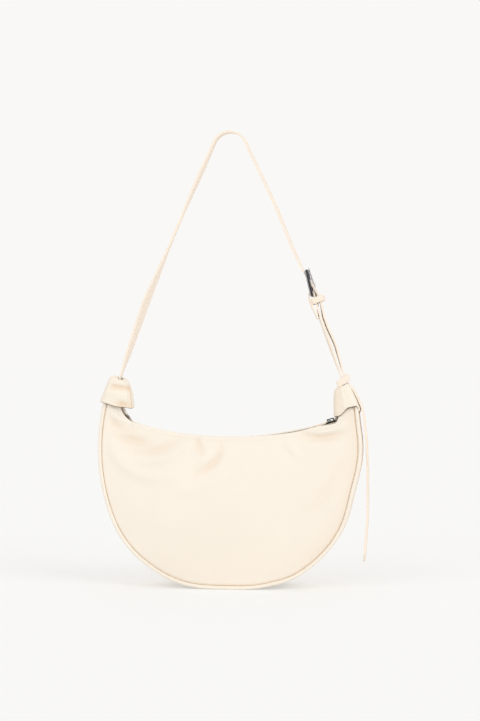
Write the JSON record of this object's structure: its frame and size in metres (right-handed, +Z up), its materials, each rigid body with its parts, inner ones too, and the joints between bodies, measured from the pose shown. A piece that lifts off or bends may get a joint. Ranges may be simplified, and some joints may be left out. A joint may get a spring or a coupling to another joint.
{
  "type": "half moon shoulder bag",
  "caption": "Half moon leather shoulder bag with a curved zip mouth, piped seams, hooded strap ends and a buckled shoulder strap whose free end hangs at one side.",
  "frame": {"origin": "middle of the flat part of the base that the bag stands on", "axes": "+Z up through the top of the strap, +X to the buckle's side, -Y out of the front panel"},
  "size_m": [0.3292, 0.079, 0.552],
  "materials": {
    "cream_leather": "smooth cream leather with a soft sheen",
    "lining_cloth": "plain woven cotton lining",
    "zip_tape": "woven tape, cream",
    "piping_cord": "cotton filler cord inside the piping",
    "gunmetal": "dark plated metal, polished"
  },
  "bodies": {
    "bag": {"front_panel": "cream_leather", "back_panel": "cream_leather", "gusset": "cream_leather", "front_piping": "cream_leather", "back_piping": "cream_leather", "left_end_cap": "cream_leather", "right_end_cap": "cream_leather", "left_anchor_tab": "cream_leather", "right_anchor_tab": "cream_leather", "front_lining": "lining_cloth", "back_lining": "lining_cloth", "gusset_lining": "lining_cloth", "front_zip_tape": "zip_tape", "back_zip_tape": "zip_tape", "front_piping_cord": "piping_cord", "back_piping_cord": "piping_cord", "front_zip_teeth": "gunmetal", "back_zip_teeth": "gunmetal", "zip_top_stops": "gunmetal", "zip_bottom_stop": "gunmetal", "left_anchor_rivet": "gunmetal", "right_anchor_rivet": "gunmetal"},
    "strap": {"long_strap": "cream_leather", "buckle_strap": "cream_leather", "buckle_frame": "gunmetal", "upper_keeper": "cream_leather"},
    "tail": {"strap_tail": "cream_leather"},
    "lower_loop": {"lower_keeper": "cream_leather"},
    "slider": {"zip_slider": "gunmetal"},
    "pull": {"zip_pull": "gunmetal"},
    "prong": {"buckle_prong": "gunmetal"}
  },
  "joints": [
    {"name": "strap_swing", "type": "hinge", "parent": "bag", "child": "strap", "pos_m": [-0.13403, 0, 0.2481], "axis": [0.9983, 0, -0.0584], "range_deg": [-15, 15]},
    {"name": "zip_travel", "type": "hinge", "parent": "bag", "child": "slider", "pos_m": [0, 0, 0.5995], "axis": [0, 1, 0], "range_deg": [0, 31.9], "deforming": ["front_zip_teeth", "back_zip_teeth"]},
    {"name": "pull_swing", "type": "hinge", "parent": "slider", "child": "pull", "pos_m": [0.12188, 0, 0.20155], "axis": [0, 1, 0], "range_deg": [0, 95]},
    {"name": "prong_swing", "type": "hinge", "parent": "strap", "child": "prong", "pos_m": [0.10003, 0, 0.354], "axis": [0, 1, 0], "range_deg": [0, 20]},
    {"name": "lower_loop_slide", "type": "slide", "parent": "strap", "child": "lower_loop", "axis": [-0.3019, 0, 0.9533], "range_m": [0, 0.07]},
    {"name": "tail_swing", "type": "hinge", "parent": "strap", "child": "tail", "pos_m": [0.14149, 0, 0.24591], "axis": [0, -1, 0], "range_deg": [0, 40]}
  ]
}
